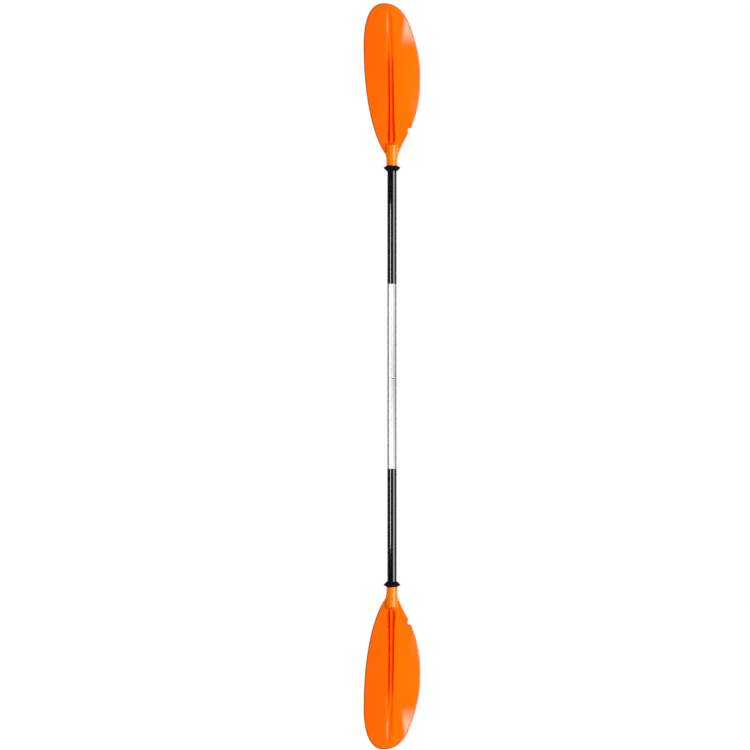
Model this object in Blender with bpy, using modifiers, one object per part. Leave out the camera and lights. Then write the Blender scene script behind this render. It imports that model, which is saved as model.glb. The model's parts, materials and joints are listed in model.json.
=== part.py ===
"""Kayak paddle, breakdown pattern: two moulded blades on short wrapped tubes, a two-part alloy shaft,
insert ferrules, spring snap buttons, drip rings and flotation plugs.

Frame: the shaft axis is Z, mid length is z = 0, the power faces look towards -Y (front), +Y is the
back. Sizes are in metres. Heights are given for the upper half (side = 1); the lower half
(side = -1) repeats it mirrored about z = 0, because the blades are a left and a right moulding.
"""

import math

import bmesh
import bpy
import numpy as np

# ---------------------------------------------------------------- driving dimensions
LENGTH = 2.300  # tip to tip
HALF = LENGTH / 2

FACETS = 36  # flats round every turned piece
TURN = math.pi / FACETS  # turns a flat, not a corner, onto the Y axis

# Tubes, wraps and ferrules
TUBE_R = 0.0140
TUBE_BORE_R = 0.0129
TUBE_RADII = (TUBE_R, TUBE_BORE_R)
WRAP_OUT_R = 0.01425
WRAP_RADII = (WRAP_OUT_R, 0.01405)  # shrink film on the tube
FERRULE_R = TUBE_BORE_R - 0.0001  # less the running clearance
FERRULE_RADII = (FERRULE_R, FERRULE_R - 0.0010)

CENTRE_JOINT_Z = -0.015  # parting line of the two shaft halves
BLADE_JOINT_Z = 0.529  # parting line between shaft and blade tube
JOINT_GAP = 0.0003
SHAFT_END_Z = BLADE_JOINT_Z - JOINT_GAP / 2
BLADE_TUBE_START_Z = BLADE_JOINT_Z + JOINT_GAP / 2
TUBE_END_Z = 0.6975
GRIP_WRAP_START_Z = 0.285
TUBE_WRAP_END_Z = 0.6500

# Lengths of the ferrules that stand out of the tube, and that are glued into it
CENTRE_FERRULE_OUT = 0.041
CENTRE_FERRULE_IN = 0.060
BLADE_FERRULE_OUT = 0.0675
BLADE_FERRULE_IN = 0.045

# Snap buttons; azimuths are measured from the front (-Y) towards +X
CENTRE_BUTTON_Z = -0.0046
CENTRE_BUTTON_AZ = math.radians(15)
FEATHER = math.radians(60)  # pitch of the feather holes either side of the middle one
BLADE_BUTTON_Z = 0.5607
BLADE_BUTTON_AZ = math.radians(180)
BUTTON_R = 0.0039
FERRULE_HOLE_R = BUTTON_R + 0.0002
TUBE_HOLE_R = BUTTON_R + 0.0003
WRAP_HOLE_R = BUTTON_R + 0.0006

# Plugs: (start, end) heights
PLUG_R = 0.0127
PLUG_CHAMFER = 0.0015
NECK_PLUG_SPAN = (0.670, 0.692)
UPPER_SHAFT_PLUG_SPAN = (0.070, 0.095)
LOWER_SHAFT_PLUG_SPAN = (0.100, 0.125)

# ---------------------------------------------------------------- scene and collections
for old in list(bpy.data.objects):
    bpy.data.objects.remove(old, do_unlink=True)

PADDLE = bpy.data.collections.new("kayak_paddle")
CUTTERS = bpy.data.collections.new("cutters")
bpy.context.scene.collection.children.link(PADDLE)
bpy.context.scene.collection.children.link(CUTTERS)


# ---------------------------------------------------------------- materials
def material(name, colour, roughness, metallic=0.0):
    """A Principled material in the piece's own colour."""
    mat = bpy.data.materials.new(name)
    mat.use_nodes = True
    shader = mat.node_tree.nodes["Principled BSDF"]
    shader.inputs["Base Color"].default_value = (*colour, 1.0)
    shader.inputs["Roughness"].default_value = roughness
    shader.inputs["Metallic"].default_value = metallic
    mat.diffuse_color = (*colour, 1.0)
    return mat


ORANGE = material("blade_orange", colour=(1.0, 0.160, 0.004), roughness=0.32)
SILVER = material("alloy_silver", colour=(0.82, 0.83, 0.84), roughness=0.28, metallic=0.9)
BLACK_TUBE = material("alloy_blackened", colour=(0.03, 0.03, 0.032), roughness=0.35, metallic=0.6)
WRAP = material("black_shrink_wrap", colour=(0.012, 0.012, 0.013), roughness=0.30)
RUBBER = material("black_rubber", colour=(0.010, 0.010, 0.010), roughness=0.65)
FERRULE = material("ferrule_alloy", colour=(0.70, 0.71, 0.73), roughness=0.35, metallic=0.9)
STEEL = material("spring_steel", colour=(0.75, 0.75, 0.76), roughness=0.22, metallic=1.0)
FOAM = material("plug_foam", colour=(0.16, 0.16, 0.17), roughness=0.95)


# ---------------------------------------------------------------- building helpers
def place(obj, origin_z, parent=None, rotation=(0, 0, 0)):
    """Put the object's origin at height origin_z on the shaft axis, under its parent."""
    base = 0.0
    if parent is not None:
        obj.parent = parent
        base = parent["world_z"]
    obj.location = (0, 0, origin_z - base)
    obj.rotation_euler = rotation


def axis_marker(name, z, parent=None):
    """An empty at height z on the shaft axis."""
    mark = bpy.data.objects.new(name, None)
    mark.empty_display_size = 0.03
    PADDLE.objects.link(mark)
    mark["world_z"] = z
    place(mark, z, parent)
    return mark


def link_mesh(name, mesh, collection, mat=None):
    obj = bpy.data.objects.new(name, mesh)
    collection.objects.link(obj)
    if mat is not None:
        mesh.materials.append(mat)
    if collection is CUTTERS:
        obj.hide_render = True
        obj.display_type = "WIRE"
    return obj


def turned(name, profile, mat, collection=PADDLE, steps=FACETS):
    """Turn (radius, z) points that run down the outer side. One that starts on the axis is open."""
    count = len(profile)
    edges = [(i, i + 1) for i in range(count - 1)]
    if profile[0][0] > 0:
        edges.append((count - 1, 0))
    mesh = bpy.data.meshes.new(name)
    mesh.from_pydata([(r, 0, z) for r, z in profile], edges, [])
    obj = link_mesh(name, mesh, collection, mat)
    screw = obj.modifiers.new("turn", "SCREW")
    screw.axis = "Z"
    screw.angle = 2 * math.pi
    screw.steps = steps
    screw.render_steps = steps
    screw.use_merge_vertices = True
    screw.merge_threshold = 0.00001
    screw.use_smooth_shade = False
    return obj


def turned_on_shaft(name, profile, mat, side, origin_z, parent, collection=PADDLE):
    """Turn an upper half profile about the shaft; the lower one is mirrored, still running down."""
    if side < 0:
        profile = [(r, -z) for r, z in reversed(profile)]
    origin_z *= side
    obj = turned(name, [(r, z - origin_z) for r, z in profile], mat, collection)
    place(obj, origin_z, parent, (0, 0, TURN))
    return obj


def sleeve(name, radii, span, mat, side, origin_z, parent):
    """A plain round tube with (outer, inner) radii between the two heights of span."""
    outer, inner = radii
    start, end = span
    profile = [(outer, end), (outer, start), (inner, start), (inner, end)]
    return turned_on_shaft(name, profile, mat, side, origin_z, parent)


def plug(name, span, side, origin_z, parent):
    """A foam plug with chamfered ends."""
    start, end = span
    end_r = PLUG_R - PLUG_CHAMFER
    profile = [
        (0, end),
        (end_r, end),
        (PLUG_R, end - PLUG_CHAMFER),
        (PLUG_R, start + PLUG_CHAMFER),
        (end_r, start),
        (0, start),
    ]
    turned_on_shaft(name, profile, FOAM, side, origin_z, parent)


def cut(obj, cutter, operation="DIFFERENCE"):
    boolean = obj.modifiers.new(cutter.name, "BOOLEAN")
    boolean.operation = operation
    boolean.solver = "EXACT"
    boolean.object = cutter


DRILL_INNER_R = 0.006
DRILL_OUTER_R = 0.022


def drill(obj, name, radius, z, azimuth):
    """Cut a round hole square to the shaft axis, through one wall only."""
    mesh = bpy.data.meshes.new(name)
    bm = bmesh.new()
    bmesh.ops.create_cone(
        bm, cap_ends=True, segments=24, radius1=radius, radius2=radius,
        depth=DRILL_OUTER_R - DRILL_INNER_R,
    )
    bmesh.ops.translate(bm, verts=bm.verts, vec=(0, 0, (DRILL_INNER_R + DRILL_OUTER_R) / 2))
    bm.to_mesh(mesh)
    bm.free()
    bar = link_mesh(name, mesh, CUTTERS)
    place(bar, z, rotation=(math.pi / 2, 0, azimuth))
    cut(obj, bar)


# ---------------------------------------------------------------- blade dimensions
NECK_R = 0.0169
NECK_MOUTH_Z = 0.6506
SOCKET_R = 0.0143
SOCKET_END_Z = 0.700
SOCKET_CUT_START_Z = 0.640  # below the mouth, so the cut opens it
DOME_START_Z = 0.704  # front of the neck starts to run out into the face
DOME_END_Z = 0.719

BLADE_ROOT_Z = 0.700  # the sweep, thinning and spine taper start here
SWEEP = 0.017  # how far the tip stands forward of the shaft axis
DIHEDRAL = 0.13  # slope of each half of the face away from the middle
DIHEDRAL_ROUND = 0.010  # softens the crease between the two slopes
DIHEDRAL_RAMP = (0.672, 0.760)  # heights over which the slope comes in
MID_T = 0.0060  # thickness beside the channel, at the root
TIP_T = 0.0038  # thickness beside the channel, at the tip
EDGE_T = 0.0030
EDGE_ACROSS = 0.088  # distance from the middle where the edge thickness is reached

# The middle line of channel and spine steps, then drifts, towards -X
MIDDLE_STEP = 0.001
MIDDLE_STEP_RAMP = (0.68, 0.74)
MIDDLE_DRIFT = 0.011  # drift at MIDDLE_DRIFT_LENGTH past its start
MIDDLE_DRIFT_POWER = 2.2
MIDDLE_DRIFT_START_Z = 0.720
MIDDLE_DRIFT_LENGTH = 0.400

# Channel in the power face, with a rib along its middle
CHANNEL_START_Z = 0.715
CHANNEL_END_Z = 1.131
CHANNEL_LEAD_IN = 0.012
CHANNEL_LEAD_OUT = 0.014
CHANNEL_TAPER_Z = 0.717  # the half width is CHANNEL_HALF_WIDTH here
CHANNEL_HALF_WIDTH = 0.0118
CHANNEL_NARROWING = 0.0080  # loss of half width by the channel's end
CHANNEL_DEPTH = 0.0024
CHANNEL_SHALLOWING = 0.0012  # loss of depth by the tip
CHANNEL_WALL = 0.0016  # width of the sloping side
RIB_FOOT_HALF = 0.0026
RIB_TOP_HALF = 0.0012
RIB_HEIGHT = 0.75  # share of the channel's depth

# Spine on the back, tapering from the neck
SPINE_END_Z = 1.090
SPINE_R_LOSS = 0.010
SPINE_POWER = 1.15
SPINE_SINK = 0.0015  # how far its end lies below the back

# Fillet where neck and spine meet the blade
FILLET = 0.0020
FILLET_EDGE = 0.006  # it fades out within this distance of the outline
FILLET_RAMP = (0.668, 0.690)

# Blade outline as cubic arcs, (x, z) in millimetres: start, handle, handle, end.
# Both edges run from the neck's mouth to the tip; the short edge passes its hook.
LONG_EDGE = [
    ((-16.9, 650.6), (-16.9, 662), (-16.9, 670), (-19.5, 684)),
    ((-19.5, 684), (-66.5, 751), (-87.5, 890), (-87.5, 1015)),
    ((-87.5, 1015), (-87.5, 1021), (-94, 1150), (-27.5, 1150)),
]
SHORT_EDGE = [
    ((16.9, 650.6), (16.9, 660), (16.9, 664), (16.9, 670)),
    ((16.9, 670), (16.9, 694), (46.4, 740.5), (49.5, 749)),
    ((49.5, 749), (49.5, 755), (49.5, 761), (49.5, 766)),
    ((49.5, 766), (52, 768), (58, 764.5), (59.5, 768)),
    ((59.5, 768), (71.3, 800.4), (87.2, 836), (87.2, 918)),
    ((87.2, 918), (87.2, 943), (87.9, 986), (66.3, 1052.5)),
    ((66.3, 1052.5), (50.9, 1100), (32.3, 1150), (-27.5, 1150)),
]

# Heights of the lofted sections: close together where the outline or the relief turns quickly
STATIONS = [
    NECK_MOUTH_Z, 0.660, 0.668, 0.675, 0.682, 0.690, 0.698,
    0.704, 0.709, 0.7135, 0.717, 0.7195, 0.727, 0.737,
    0.749, 0.7655, 0.7685, 0.778,
    *np.linspace(0.797, 1.095, 11),
    1.117, 1.131, 1.140, 1.1455, 1.1485, 1.1496,
]

# Columns of a section
RIM_STEP = 0.0016  # first column in from the edge, at most RIM_STEP_SHARE of the wing's width
RIM_STEP_SHARE = 0.10
WING_COLUMNS = [0.34, 0.60, 0.82]  # shares of the wing's width, from the edge
CENTRE_COLUMNS = [-1.0, -0.84, -0.26, -0.11, 0.11, 0.26, 0.84, 1.0]  # in channel half widths
MAX_CENTRE_HALF = 0.35  # largest half width of the centre columns, as a share of the section
MIN_MIDDLE_INSET = 0.4  # least distance from edge to middle, as a share of the section


# ---------------------------------------------------------------- blade outline
def arc_points(arcs, per_arc=60):
    """Sample a chain of cubic arcs, in metres."""
    t = np.linspace(0, 1, per_arc)[:, None]
    out = []
    for arc in arcs:
        start, handle1, handle2, end = (np.array(p, float) / 1000 for p in arc)
        out.append(
            (1 - t) ** 3 * start
            + 3 * t * (1 - t) ** 2 * handle1
            + 3 * t**2 * (1 - t) * handle2
            + t**3 * end
        )
    return np.vstack(out)


LONG_LINE = arc_points(LONG_EDGE)
SHORT_LINE = arc_points(SHORT_EDGE)
OUTLINE = np.vstack([LONG_LINE, SHORT_LINE[::-1]])


def edge_x(line, z):
    """x of an edge at height z; the hook's small dip is levelled so that z only rises."""
    return float(np.interp(z, np.maximum.accumulate(line[:, 1]), line[:, 0]))


def distance_to_outline(x, z):
    starts = OUTLINE[:-1]
    steps = OUTLINE[1:] - starts
    length2 = np.maximum((steps**2).sum(1), 1e-14)
    t = np.clip((((x, z) - starts) * steps).sum(1) / length2, 0, 1)
    return float(np.sqrt((((x, z) - starts - t[:, None] * steps) ** 2).sum(1)).min())


# ---------------------------------------------------------------- blade surface
def ramp(a, b, v):
    """Smooth step from 0 at a to 1 at b."""
    t = min(max((v - a) / (b - a), 0.0), 1.0)
    return t * t * (3 - 2 * t)


def soft_max(a, b, k):
    return 0.5 * (a + b + math.sqrt((a - b) ** 2 + k * k))


def round_rise(x, radius, centre):
    """Height of a round hump centred at height centre, falling steeply outside its radius."""
    return centre + math.sqrt(max(radius**2 - x**2, 0)) - 3 * max(abs(x) - radius, 0)


def middle_x(z):
    t = max(z - MIDDLE_DRIFT_START_Z, 0) / MIDDLE_DRIFT_LENGTH
    return -MIDDLE_STEP * ramp(*MIDDLE_STEP_RAMP, z) - MIDDLE_DRIFT * t**MIDDLE_DRIFT_POWER


def channel_half(z):
    t = (z - CHANNEL_TAPER_Z) / (CHANNEL_END_Z - CHANNEL_TAPER_Z)
    return CHANNEL_HALF_WIDTH - CHANNEL_NARROWING * t


def channel_depth(across, z, along):
    """Depth of the channel below the front at this distance across from the middle line."""
    live = ramp(CHANNEL_START_Z, CHANNEL_START_Z + CHANNEL_LEAD_IN, z) * (
        1 - ramp(CHANNEL_END_Z - CHANNEL_LEAD_OUT, CHANNEL_END_Z, z)
    )
    half = channel_half(z)
    wall = ramp(half, half - CHANNEL_WALL, abs(across))
    rib = ramp(RIB_FOOT_HALF, RIB_TOP_HALF, abs(across))
    depth = (CHANNEL_DEPTH - CHANNEL_SHALLOWING * along) * live
    return depth * wall * (1 - RIB_HEIGHT * rib)


def blade_faces(x, z, edge_distance):
    """y of the power face and of the back at (x, z), for a point this far in from the outline."""
    along = max(z - BLADE_ROOT_Z, 0) / (HALF - BLADE_ROOT_Z)
    across = x - middle_x(z)
    slope = DIHEDRAL * ramp(*DIHEDRAL_RAMP, z)
    mid = -SWEEP * along * along + slope * (math.hypot(across, DIHEDRAL_ROUND) - DIHEDRAL_ROUND)

    # half thickness, with a rounded edge
    mid_t = MID_T + (TIP_T - MID_T) * along
    half_t = 0.5 * (mid_t + (EDGE_T - mid_t) * min(abs(across) / EDGE_ACROSS, 1))
    inset = min(edge_distance / half_t, 1)
    half_t *= math.sqrt(max(1 - (1 - inset) ** 2, 0))
    fillet = FILLET * min(edge_distance / FILLET_EDGE, 1) * ramp(*FILLET_RAMP, z)

    # front: the neck's round front runs out at the top of the channel
    front = half_t
    if z < DOME_END_Z:
        t = max(z - DOME_START_Z, 0) / (DOME_END_Z - DOME_START_Z)
        drop = NECK_R * (1 - math.sqrt(max(1 - t * t, 0)))
        front = soft_max(half_t, round_rise(x, NECK_R, -drop) + mid, fillet)
    front -= channel_depth(across, z, along)

    # back: the neck tapers away as a spine
    t = min(max(z - BLADE_ROOT_Z, 0) / (SPINE_END_Z - BLADE_ROOT_Z), 1)
    radius = NECK_R - SPINE_R_LOSS * t
    neck_share = (1 - t) ** SPINE_POWER
    top = NECK_R * neck_share + (mid + half_t) * (1 - neck_share) - SPINE_SINK * t
    back = soft_max(mid + half_t, round_rise(across, radius, top - radius), fillet)
    return mid - front, back


# ---------------------------------------------------------------- blade
def wing_offsets(width):
    """Distances of a wing's columns from its edge."""
    rim_step = min(RIM_STEP, RIM_STEP_SHARE * width)
    return [0.0, rim_step] + [share * width for share in WING_COLUMNS]


def section_columns(z):
    """x of each column of a section, from the long edge to the short edge."""
    x0 = edge_x(LONG_LINE, z)
    x1 = edge_x(SHORT_LINE, z)
    width = x1 - x0
    half = min(channel_half(z), MAX_CENTRE_HALF * width)
    inset = MIN_MIDDLE_INSET * width
    middle = min(max(middle_x(z), x0 + inset), x1 - inset)
    long_wing = [x0 + offset for offset in wing_offsets(middle - half - x0)]
    centre = [middle + half * c for c in CENTRE_COLUMNS]
    short_wing = [x1 - offset for offset in wing_offsets(x1 - (middle + half))]
    return long_wing + centre + short_wing[::-1]


def section_loop(z):
    """(x, y) round a section: long rim, front, short rim, then back along the back face."""
    columns = section_columns(z)
    front, back = [], []
    for x in columns[1:-1]:
        y_front, y_back = blade_faces(x, z, distance_to_outline(x, z))
        front.append((x, y_front))
        back.append((x, y_back))
    long_rim, short_rim = (
        (x, sum(blade_faces(x, z, 0.0)) / 2) for x in (columns[0], columns[-1])
    )
    return [long_rim] + front + [short_rim] + back[::-1]


def make_blade(name, side, parent):
    """Loft from the round neck to the swept blade, closed at both ends, then bore the socket."""
    origin_z = side * BLADE_JOINT_Z
    bm = bmesh.new()

    def add_face(verts):
        bm.faces.new(verts if side > 0 else verts[::-1])

    rings = [
        [bm.verts.new((x, y, side * z - origin_z)) for x, y in section_loop(z)] for z in STATIONS
    ]
    count = len(rings[0])
    for low, high in zip(rings[:-1], rings[1:]):
        for i in range(count):
            j = (i + 1) % count
            add_face([low[i], low[j], high[j], high[i]])
    add_face(rings[0][::-1])
    last = rings[-1]
    tip_y = sum(v.co.y for v in last) / count
    apex = bm.verts.new((float(LONG_LINE[-1, 0]), tip_y, side * HALF - origin_z))
    for i in range(count):
        add_face([last[i], last[(i + 1) % count], apex])
    mesh = bpy.data.meshes.new(name)
    bm.to_mesh(mesh)
    bm.free()
    blade = link_mesh(name, mesh, PADDLE, ORANGE)
    place(blade, origin_z, parent)

    socket = [
        (0, SOCKET_END_Z),
        (SOCKET_R, SOCKET_END_Z),
        (SOCKET_R, SOCKET_CUT_START_Z),
        (0, SOCKET_CUT_START_Z),
    ]
    cut(blade, turned_on_shaft(name + "_bore", socket, None, side, 0.0, None, CUTTERS))


# ---------------------------------------------------------------- drip ring
RING_R = 0.0254
RING_BORE_R = 0.01435
RING_TOP_Z = 0.6502
RING_BOTTOM_Z = 0.6335
# (radius, z): flared lip with its cup open towards the blade, on a short collar, cone below
RING_PROFILE = [
    (0.0243, 0.6473),
    (RING_R, 0.6450),
    (RING_R - 0.0006, 0.6424),
    (0.0195, 0.6367),
    (0.0160, RING_BOTTOM_Z),
    (RING_BORE_R, RING_BOTTOM_Z),
    (RING_BORE_R, RING_TOP_Z),
    (0.0166, RING_TOP_Z),
    (0.0174, 0.6443),
    (0.0200, 0.6430),
    (0.0229, 0.6460),
]

# ---------------------------------------------------------------- snap clip
SPRING_W = 0.0070
SPRING_T = 0.0005
SPRING_LEG = 0.030  # from the button's axis to the start of the bend
SPRING_LEG_R = 0.0106  # height of a leg off the shaft axis, at the button
SPRING_BEND_R = SPRING_LEG_R - 0.0022  # the same at the bend
SPRING_BEND_REACH = 0.0085
NEAR_LEG_START = -0.0045
FAR_LEG_END = 0.002
BUTTON_FOOT_R = 0.0092  # height of the button's inner end off the shaft axis
BUTTON_PROUD = 0.0024  # how far a button stands out of the skin round it
# (radius, depth below the top of the button)
BUTTON_DOME = [
    (0, 0),
    (0.0018, 0.00018),
    (0.0030, 0.00070),
    (0.0037, 0.00150),
    (BUTTON_R, BUTTON_PROUD),
]


def spring_path():
    """(along the shaft, height) points of the strip: near leg, bend, far leg."""
    taper = SPRING_LEG_R - SPRING_BEND_R
    path = []
    for t in np.linspace(0, 1, 5):
        path.append((NEAR_LEG_START + t * (SPRING_LEG - NEAR_LEG_START), SPRING_LEG_R - taper * t))
    for angle in np.radians(np.linspace(60, -60, 7)):
        path.append(
            (SPRING_LEG + SPRING_BEND_REACH * math.cos(angle), SPRING_BEND_R * math.sin(angle))
        )
    for t in np.linspace(1, 0, 5):
        path.append((FAR_LEG_END + t * (SPRING_LEG - FAR_LEG_END), -SPRING_LEG_R + taper * t))
    return path


def make_clip(name, z, azimuth, skin_r, leg_way, parent):
    """A hairpin spring strip with a domed button through its near leg.

    Local +Z points out through the button, +Y along the shaft towards the bend; leg_way is 1 where
    the bend lies above the button and -1 where it lies below."""
    mesh = bpy.data.meshes.new(name)
    bm = bmesh.new()
    verts = [bm.verts.new((-SPRING_W / 2, y, height)) for y, height in spring_path()]
    edges = [bm.edges.new(pair) for pair in zip(verts[:-1], verts[1:])]
    moved = bmesh.ops.extrude_edge_only(bm, edges=edges)
    far_side = [v for v in moved["geom"] if isinstance(v, bmesh.types.BMVert)]
    bmesh.ops.translate(bm, verts=far_side, vec=(SPRING_W, 0, 0))
    bmesh.ops.recalc_face_normals(bm, faces=bm.faces)
    bm.to_mesh(mesh)
    bm.free()
    clip = link_mesh(name, mesh, PADDLE, STEEL)
    place(clip, z, parent, (math.pi / 2, 0 if leg_way > 0 else math.pi, azimuth))
    strip = clip.modifiers.new("strip", "SOLIDIFY")
    strip.thickness = SPRING_T
    strip.offset = 0

    top = skin_r + BUTTON_PROUD
    profile = [(r, top - depth) for r, depth in BUTTON_DOME]
    profile += [(BUTTON_R, BUTTON_FOOT_R), (0, BUTTON_FOOT_R)]
    button = turned(name + "_button", profile, None, CUTTERS, steps=24)
    button.parent = clip
    cut(clip, button, "UNION")


# ---------------------------------------------------------------- sections of the paddle
def make_shaft_tubes(centre_joint):
    """The two alloy tubes, with the feather holes in the upper one."""
    upper_span = (CENTRE_JOINT_Z + JOINT_GAP / 2, SHAFT_END_Z)
    lower_span = (-CENTRE_JOINT_Z + JOINT_GAP / 2, SHAFT_END_Z)
    upper = sleeve("upper_shaft_tube", TUBE_RADII, upper_span, SILVER, 1, 0.0, None)
    sleeve("lower_shaft_tube", TUBE_RADII, lower_span, SILVER, -1, -CENTRE_JOINT_Z, centre_joint)
    for pitch, letter in zip((-1, 0, 1), "abc"):
        azimuth = CENTRE_BUTTON_AZ + pitch * FEATHER
        drill(upper, "feather_hole_" + letter, TUBE_HOLE_R, CENTRE_BUTTON_Z, azimuth)


def make_shaft_end(half, side, parent):
    """Grip wrap, and the ferrule that the blade piece slides onto."""
    sleeve(half + "_grip_wrap", WRAP_RADII, (GRIP_WRAP_START_Z, SHAFT_END_Z),
           WRAP, side, GRIP_WRAP_START_Z, parent)
    span = (BLADE_JOINT_Z - BLADE_FERRULE_IN, BLADE_JOINT_Z + BLADE_FERRULE_OUT)
    ferrule = sleeve(half + "_blade_ferrule", FERRULE_RADII, span,
                     FERRULE, side, BLADE_JOINT_Z, parent)
    drill(ferrule, half + "_ferrule_hole", FERRULE_HOLE_R, side * BLADE_BUTTON_Z, BLADE_BUTTON_AZ)


def make_blade_piece(half, side, parent):
    """Stub tube, its wrap, blade, drip ring and neck plug."""
    button_z = side * BLADE_BUTTON_Z
    tube = sleeve(half + "_blade_tube", TUBE_RADII, (BLADE_TUBE_START_Z, TUBE_END_Z),
                  BLACK_TUBE, side, BLADE_JOINT_Z, parent)
    drill(tube, half + "_tube_hole", TUBE_HOLE_R, button_z, BLADE_BUTTON_AZ)
    wrap = sleeve(half + "_blade_tube_wrap", WRAP_RADII, (BLADE_TUBE_START_Z, TUBE_WRAP_END_Z),
                  WRAP, side, BLADE_JOINT_Z, parent)
    drill(wrap, half + "_wrap_hole", WRAP_HOLE_R, button_z, BLADE_BUTTON_AZ)
    make_blade(half + "_blade", side, parent)
    turned_on_shaft(half + "_drip_ring", RING_PROFILE, RUBBER, side, RING_TOP_Z, parent)
    plug(half + "_neck_plug", NECK_PLUG_SPAN, side, BLADE_JOINT_Z, parent)


def make_centre_joint(parent):
    """Ferrule glued into the lower shaft half, and its snap clip."""
    span = (-CENTRE_JOINT_Z - CENTRE_FERRULE_OUT, -CENTRE_JOINT_Z + CENTRE_FERRULE_IN)
    ferrule = sleeve("centre_ferrule", FERRULE_RADII, span, FERRULE, -1, -CENTRE_JOINT_Z, parent)
    drill(ferrule, "centre_ferrule_hole", FERRULE_HOLE_R, CENTRE_BUTTON_Z, CENTRE_BUTTON_AZ)
    make_clip("centre_snap_clip", CENTRE_BUTTON_Z, CENTRE_BUTTON_AZ, TUBE_R, -1, parent)


def settle_and_shade():
    """Settle each piece's modifiers into its mesh and shade it smooth, with real corners sharp."""
    graph = bpy.context.evaluated_depsgraph_get()
    settled = {
        obj: bpy.data.meshes.new_from_object(obj.evaluated_get(graph))
        for obj in PADDLE.objects
        if obj.type == "MESH"
    }
    for obj, mesh in settled.items():
        obj.modifiers.clear()
        obj.data = mesh
        mesh.name = obj.name
        mesh.shade_smooth()
        mesh.set_sharp_from_angle(angle=math.radians(28))


# ---------------------------------------------------------------- assembly
centre_axis = axis_marker("centre_joint_axis", CENTRE_JOINT_Z)
upper_axis = axis_marker("upper_blade_joint_axis", BLADE_JOINT_Z)
lower_axis = axis_marker("lower_blade_joint_axis", -BLADE_JOINT_Z, centre_axis)

make_shaft_tubes(centre_axis)
for half, side, shaft_axis, blade_axis in (
    ("upper", 1, None, upper_axis),
    ("lower", -1, centre_axis, lower_axis),
):
    make_shaft_end(half, side, shaft_axis)
    make_blade_piece(half, side, blade_axis)
    # the clip's bend lies back inside the shaft half
    make_clip(half + "_snap_clip", side * BLADE_BUTTON_Z, BLADE_BUTTON_AZ, WRAP_OUT_R,
              -side, shaft_axis)
make_centre_joint(centre_axis)
plug("upper_shaft_plug", UPPER_SHAFT_PLUG_SPAN, 1, UPPER_SHAFT_PLUG_SPAN[0], None)
plug("lower_shaft_plug", LOWER_SHAFT_PLUG_SPAN, -1, -CENTRE_JOINT_Z, centre_axis)

bpy.context.view_layer.update()
settle_and_shade()
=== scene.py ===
# A two-bladed kayak paddle that comes apart at the centre and at each blade.
# The shaft lies along Z with mid length at the origin. The power faces look to -Y, where
# the camera is, and the short edge of each blade is on +X. Lengths are in metres.
import json
import math

import bmesh
import bpy
import numpy as np
from mathutils import Matrix, Quaternion, Vector

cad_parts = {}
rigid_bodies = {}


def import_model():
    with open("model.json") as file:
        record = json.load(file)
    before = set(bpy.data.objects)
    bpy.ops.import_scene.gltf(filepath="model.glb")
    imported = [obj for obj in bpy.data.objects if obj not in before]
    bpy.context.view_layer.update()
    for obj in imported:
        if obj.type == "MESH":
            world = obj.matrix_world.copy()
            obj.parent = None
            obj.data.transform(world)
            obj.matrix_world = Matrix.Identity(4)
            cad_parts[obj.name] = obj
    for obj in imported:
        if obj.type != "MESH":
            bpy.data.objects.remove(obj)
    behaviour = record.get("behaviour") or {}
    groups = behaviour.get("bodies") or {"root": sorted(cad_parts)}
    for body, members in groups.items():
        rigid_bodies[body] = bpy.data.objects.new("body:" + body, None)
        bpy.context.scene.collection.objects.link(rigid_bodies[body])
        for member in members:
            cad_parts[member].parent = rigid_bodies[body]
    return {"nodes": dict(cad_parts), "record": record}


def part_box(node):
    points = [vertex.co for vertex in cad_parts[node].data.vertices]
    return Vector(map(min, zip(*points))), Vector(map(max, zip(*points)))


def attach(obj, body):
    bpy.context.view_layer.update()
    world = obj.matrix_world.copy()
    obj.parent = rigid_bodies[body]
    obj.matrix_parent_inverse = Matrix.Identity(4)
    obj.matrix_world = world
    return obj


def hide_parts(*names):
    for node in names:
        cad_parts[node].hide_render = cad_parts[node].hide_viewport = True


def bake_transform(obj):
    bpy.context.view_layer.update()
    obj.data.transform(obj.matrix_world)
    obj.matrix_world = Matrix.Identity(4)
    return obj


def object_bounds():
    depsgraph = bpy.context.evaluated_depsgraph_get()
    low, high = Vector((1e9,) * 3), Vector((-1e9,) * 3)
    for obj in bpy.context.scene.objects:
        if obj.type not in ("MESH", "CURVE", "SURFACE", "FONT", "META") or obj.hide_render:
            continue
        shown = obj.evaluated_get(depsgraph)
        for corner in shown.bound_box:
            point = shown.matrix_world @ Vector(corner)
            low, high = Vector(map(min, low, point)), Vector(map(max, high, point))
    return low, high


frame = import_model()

CAD_LO, CAD_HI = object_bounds()
HALVES = ((1, "upper"), (-1, "lower"))
FLAT = math.cos(math.pi / 36)  # the CAD's round pieces have 36 flats
SLOT_OF = {s["node"]: s["material_slot"] for s in frame["record"]["subparts"]}
BODY_OF = {n: b for b, ns in frame["record"]["behaviour"]["bodies"].items() for n in ns}
METAL_SLOTS = ("shaft_alloy", "ferrule_alloy", "spring_steel")
METAL_NODES = tuple(n for n in frame["nodes"] if SLOT_OF[n] in METAL_SLOTS)


# ------------------------------------------------------------------ sizes
def node_ends(node):
    """Nearer and farther end of a node from mid length, as positive heights."""
    lo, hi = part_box(node)
    return sorted((abs(lo[2]), abs(hi[2])))


def radius_of(node):
    lo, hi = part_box(node)
    return (hi[1] - lo[1]) / 2 / FLAT


TIP_Z = CAD_HI.z
TUBE_R = radius_of("upper_shaft_tube")
WRAP_R = radius_of("upper_grip_wrap")
FERRULE_R = radius_of("centre_ferrule")
RING_R = 1.03 * radius_of("upper_drip_ring")
PLUG_R = radius_of("upper_neck_plug")
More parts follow.
